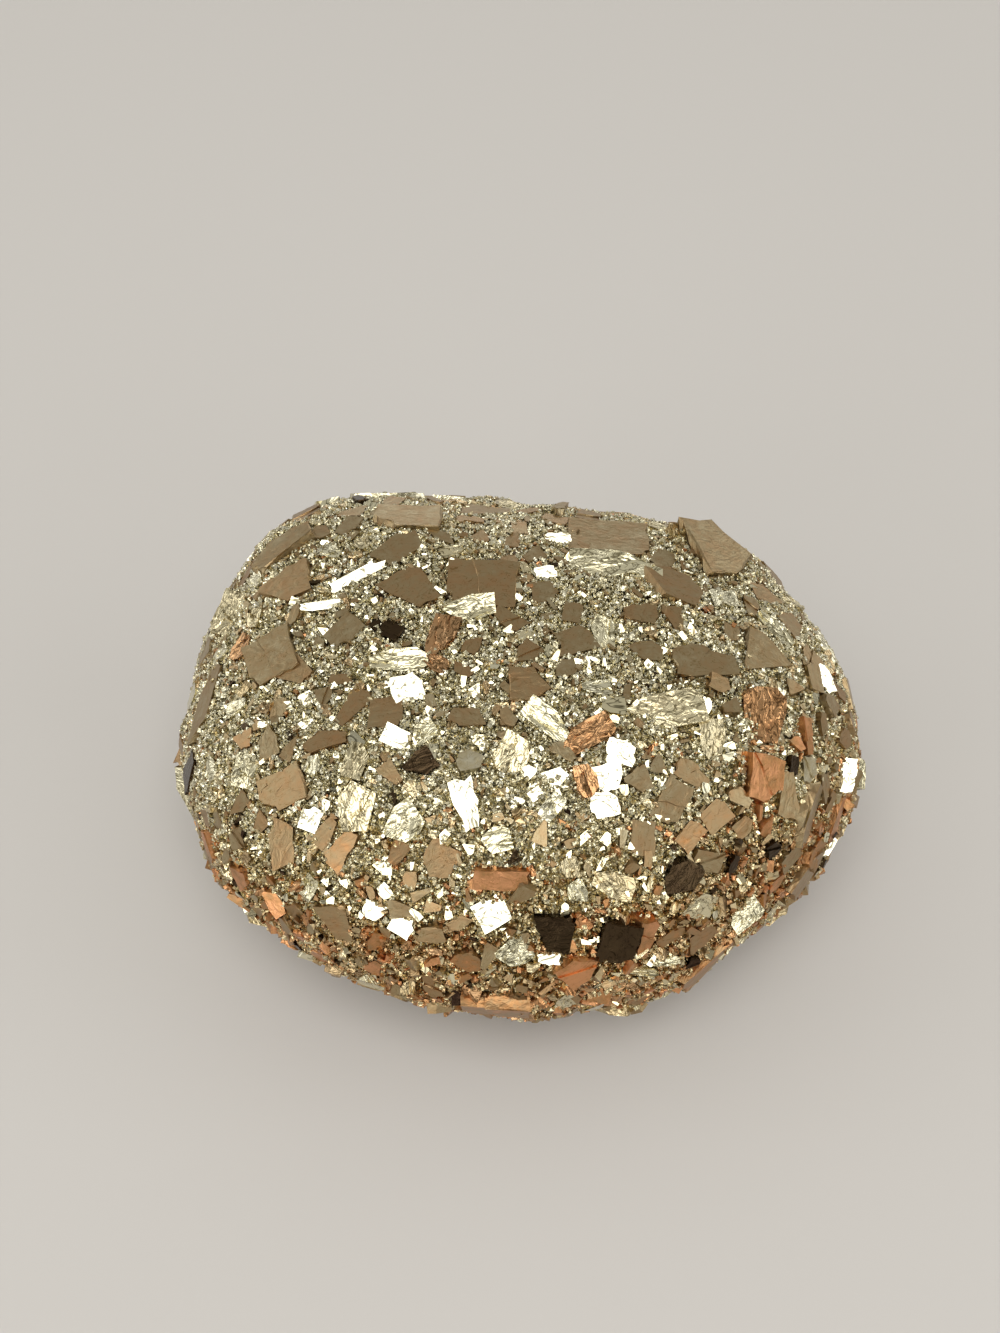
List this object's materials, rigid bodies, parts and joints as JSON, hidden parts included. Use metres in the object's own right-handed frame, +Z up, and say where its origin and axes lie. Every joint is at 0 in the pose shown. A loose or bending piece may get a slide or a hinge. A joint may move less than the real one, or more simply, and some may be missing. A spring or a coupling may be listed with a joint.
{
  "type": "pyrite specimen",
  "caption": "Flattened, rounded lump of natural pyrite with a coarse metallic surface of intergrown angular chips and a small worn flat underneath.",
  "frame": {"origin": "on the resting flat at z = 0, under the middle of the lump's bounding box", "axes": "+X along the lump's length, to the viewer's right; -Y towards the viewer; +Z up, out of the resting flat"},
  "size_m": [0.0688, 0.0564, 0.0361],
  "materials": {
    "pyrite": "natural metallic facets, slightly tarnished"
  },
  "bodies": {
    "root": {"pyrite_nodule": "pyrite"}
  },
  "joints": []
}
